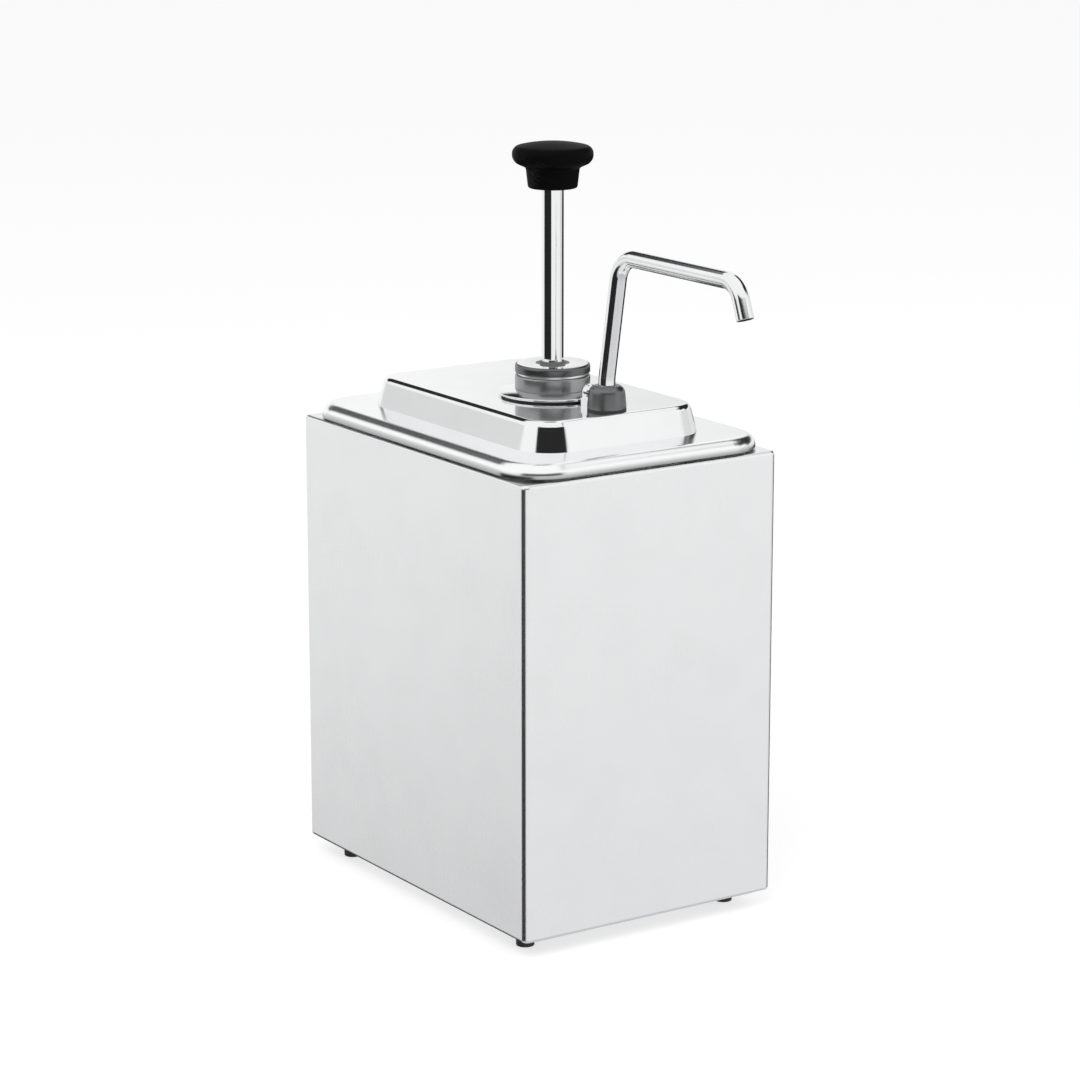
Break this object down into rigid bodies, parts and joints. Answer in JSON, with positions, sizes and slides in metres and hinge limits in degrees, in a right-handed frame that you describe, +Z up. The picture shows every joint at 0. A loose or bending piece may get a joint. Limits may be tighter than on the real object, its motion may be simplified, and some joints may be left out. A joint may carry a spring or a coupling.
{
  "type": "sauce pump dispenser",
  "caption": "Counter-top steel sauce dispenser: a plunger pump with a domed knob on a lift-off lid draws from a lift-out pan and delivers through a swivelling swan-neck spout.",
  "frame": {"origin": "middle of the housing's footprint, on the counter plane that the feet stand on", "axes": "+Z up along the plunger; -Y is the front, where the spout points; +X is to the right as seen from the front"},
  "size_m": [0.17, 0.3242, 0.4398],
  "materials": {
    "housing_steel": "satin stainless sheet",
    "pan_steel": "bright satin stainless sheet",
    "lid_steel": "bright satin stainless sheet",
    "plate_steel": "mill finish stainless sheet",
    "turned_steel": "turned stainless steel",
    "polished_steel": "polished stainless steel",
    "spout_steel": "polished stainless tube",
    "fastener_steel": "plain stainless fasteners",
    "spring_steel": "drawn stainless spring wire",
    "ball_steel": "polished valve balls",
    "insert_brass": "turned brass",
    "knob_plastic": "semi-gloss black moulded plastic",
    "white_plastic": "white bearing plastic",
    "foot_rubber": "black rubber",
    "gasket_rubber": "black food-grade rubber"
  },
  "bodies": {
    "housing": {"housing_shell": "housing_steel", "base_plate": "plate_steel", "base_screws": "fastener_steel", "foot_front_left": "foot_rubber", "foot_front_right": "foot_rubber", "foot_rear_left": "foot_rubber", "foot_rear_right": "foot_rubber", "foot_screws": "fastener_steel", "base_nuts": "fastener_steel"},
    "pan": {"food_pan": "pan_steel"},
    "lid": {"lid": "lid_steel", "pump_flange": "turned_steel", "flange_gasket": "gasket_rubber", "support_plate": "plate_steel", "cap_nut": "polished_steel", "pump_locknut": "turned_steel", "union_collar": "turned_steel", "gland_cap": "turned_steel", "rod_bushing": "white_plastic", "rod_wiper": "white_plastic", "pump_barrel": "polished_steel", "return_spring": "spring_steel", "valve_body": "turned_steel", "ball_stop_pin": "fastener_steel", "suction_tube": "polished_steel", "outlet_elbow": "turned_steel", "riser_tube": "polished_steel", "spout_socket": "turned_steel", "socket_gasket": "gasket_rubber", "socket_locknut": "turned_steel", "spout_seal": "gasket_rubber"},
    "plunger": {"knob": "knob_plastic", "knob_insert": "insert_brass", "plunger_rod": "polished_steel", "piston": "white_plastic", "piston_seals": "gasket_rubber", "piston_washer": "fastener_steel", "piston_nut": "fastener_steel"},
    "spout": {"spout": "spout_steel"},
    "inlet_valve": {"inlet_ball": "ball_steel"},
    "outlet_valve": {"outlet_ball": "ball_steel"}
  },
  "joints": [
    {"name": "pan_lift", "type": "slide", "parent": "housing", "child": "pan", "axis": [0, 0, 1], "range_m": [0, 0.24]},
    {"name": "lid_lift", "type": "slide", "parent": "pan", "child": "lid", "axis": [0, 0, 1], "range_m": [0, 0.24]},
    {"name": "plunger_press", "type": "slide", "parent": "lid", "child": "plunger", "axis": [0, 0, -1], "range_m": [0, 0.09], "stiffness_N_per_m": 180, "springref_m": -0.06, "deforming": ["return_spring"]},
    {"name": "spout_swivel", "type": "hinge", "parent": "lid", "child": "spout", "pos_m": [0, -0.0735, 0.3], "axis": [0, 0, 1], "range_deg": [-90, 90]},
    {"name": "inlet_ball_lift", "type": "slide", "parent": "lid", "child": "inlet_valve", "axis": [0, 0, 1], "range_m": [0, 0.004]},
    {"name": "outlet_ball_lift", "type": "slide", "parent": "lid", "child": "outlet_valve", "axis": [0, 0, 1], "range_m": [0, 0.005]}
  ]
}
